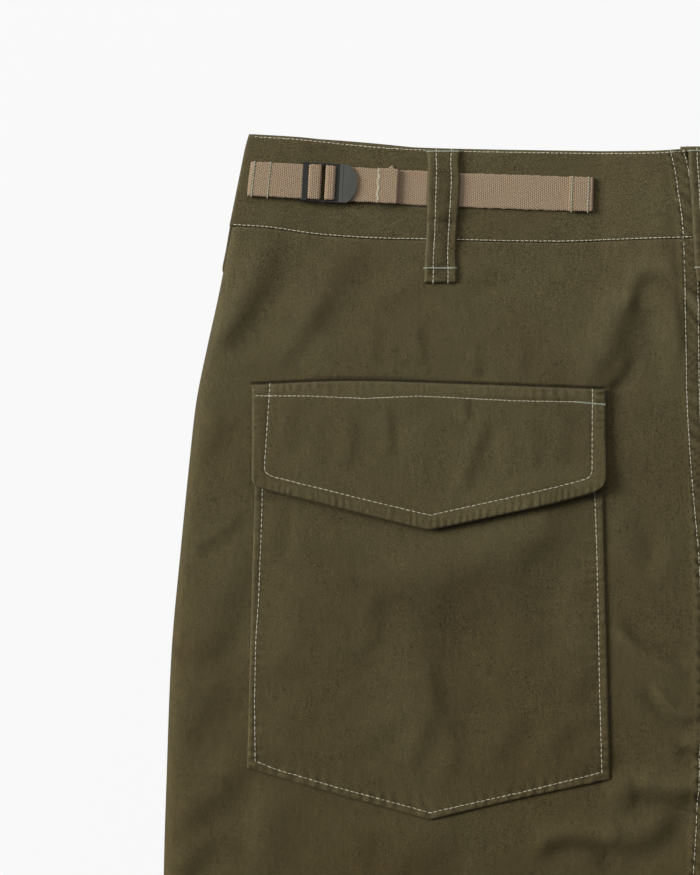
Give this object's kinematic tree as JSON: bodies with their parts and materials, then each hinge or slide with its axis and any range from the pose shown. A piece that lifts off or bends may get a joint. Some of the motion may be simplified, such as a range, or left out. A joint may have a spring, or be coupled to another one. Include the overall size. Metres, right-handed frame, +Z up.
{
  "type": "work trousers",
  "caption": "Work trousers laid flat back up, with flapped patch pockets, webbing waist adjusters with ladder buckles, belt loops and a felled seat seam.",
  "frame": {"origin": "centre of the garment's outline, on the surface that it lies on", "axes": "+X towards the wearer's right side, +Y up the garment from hems to waist, +Z up out of the back of the garment, away from the surface"},
  "size_m": [0.5872, 1.05, 0.0117],
  "materials": {
    "twill": "matte cotton twill, olive drab",
    "webbing": "matte woven cotton webbing, tan",
    "buckle": "moulded plastic, satin, dark grey",
    "button": "satin, dark olive brown"
  },
  "bodies": {
    "root": {"back_left": "twill", "back_right": "twill", "front_left": "twill", "front_right": "twill", "waistband_back_left": "twill", "waistband_back_right": "twill", "waistband_front_left": "twill", "waistband_front_right": "twill", "pocket_left": "twill", "pocket_right": "twill", "flap_left": "twill", "flap_right": "twill", "belt_loop_centre": "twill", "belt_loop_back_left": "twill", "belt_loop_back_right": "twill", "belt_loop_side_left": "twill", "belt_loop_side_right": "twill", "fly_shield": "twill", "strap_anchor_left": "webbing", "strap_anchor_right": "webbing", "strap_left": "webbing", "strap_right": "webbing", "buckle_left": "buckle", "buckle_right": "buckle", "waist_button": "button"}
  },
  "joints": []
}
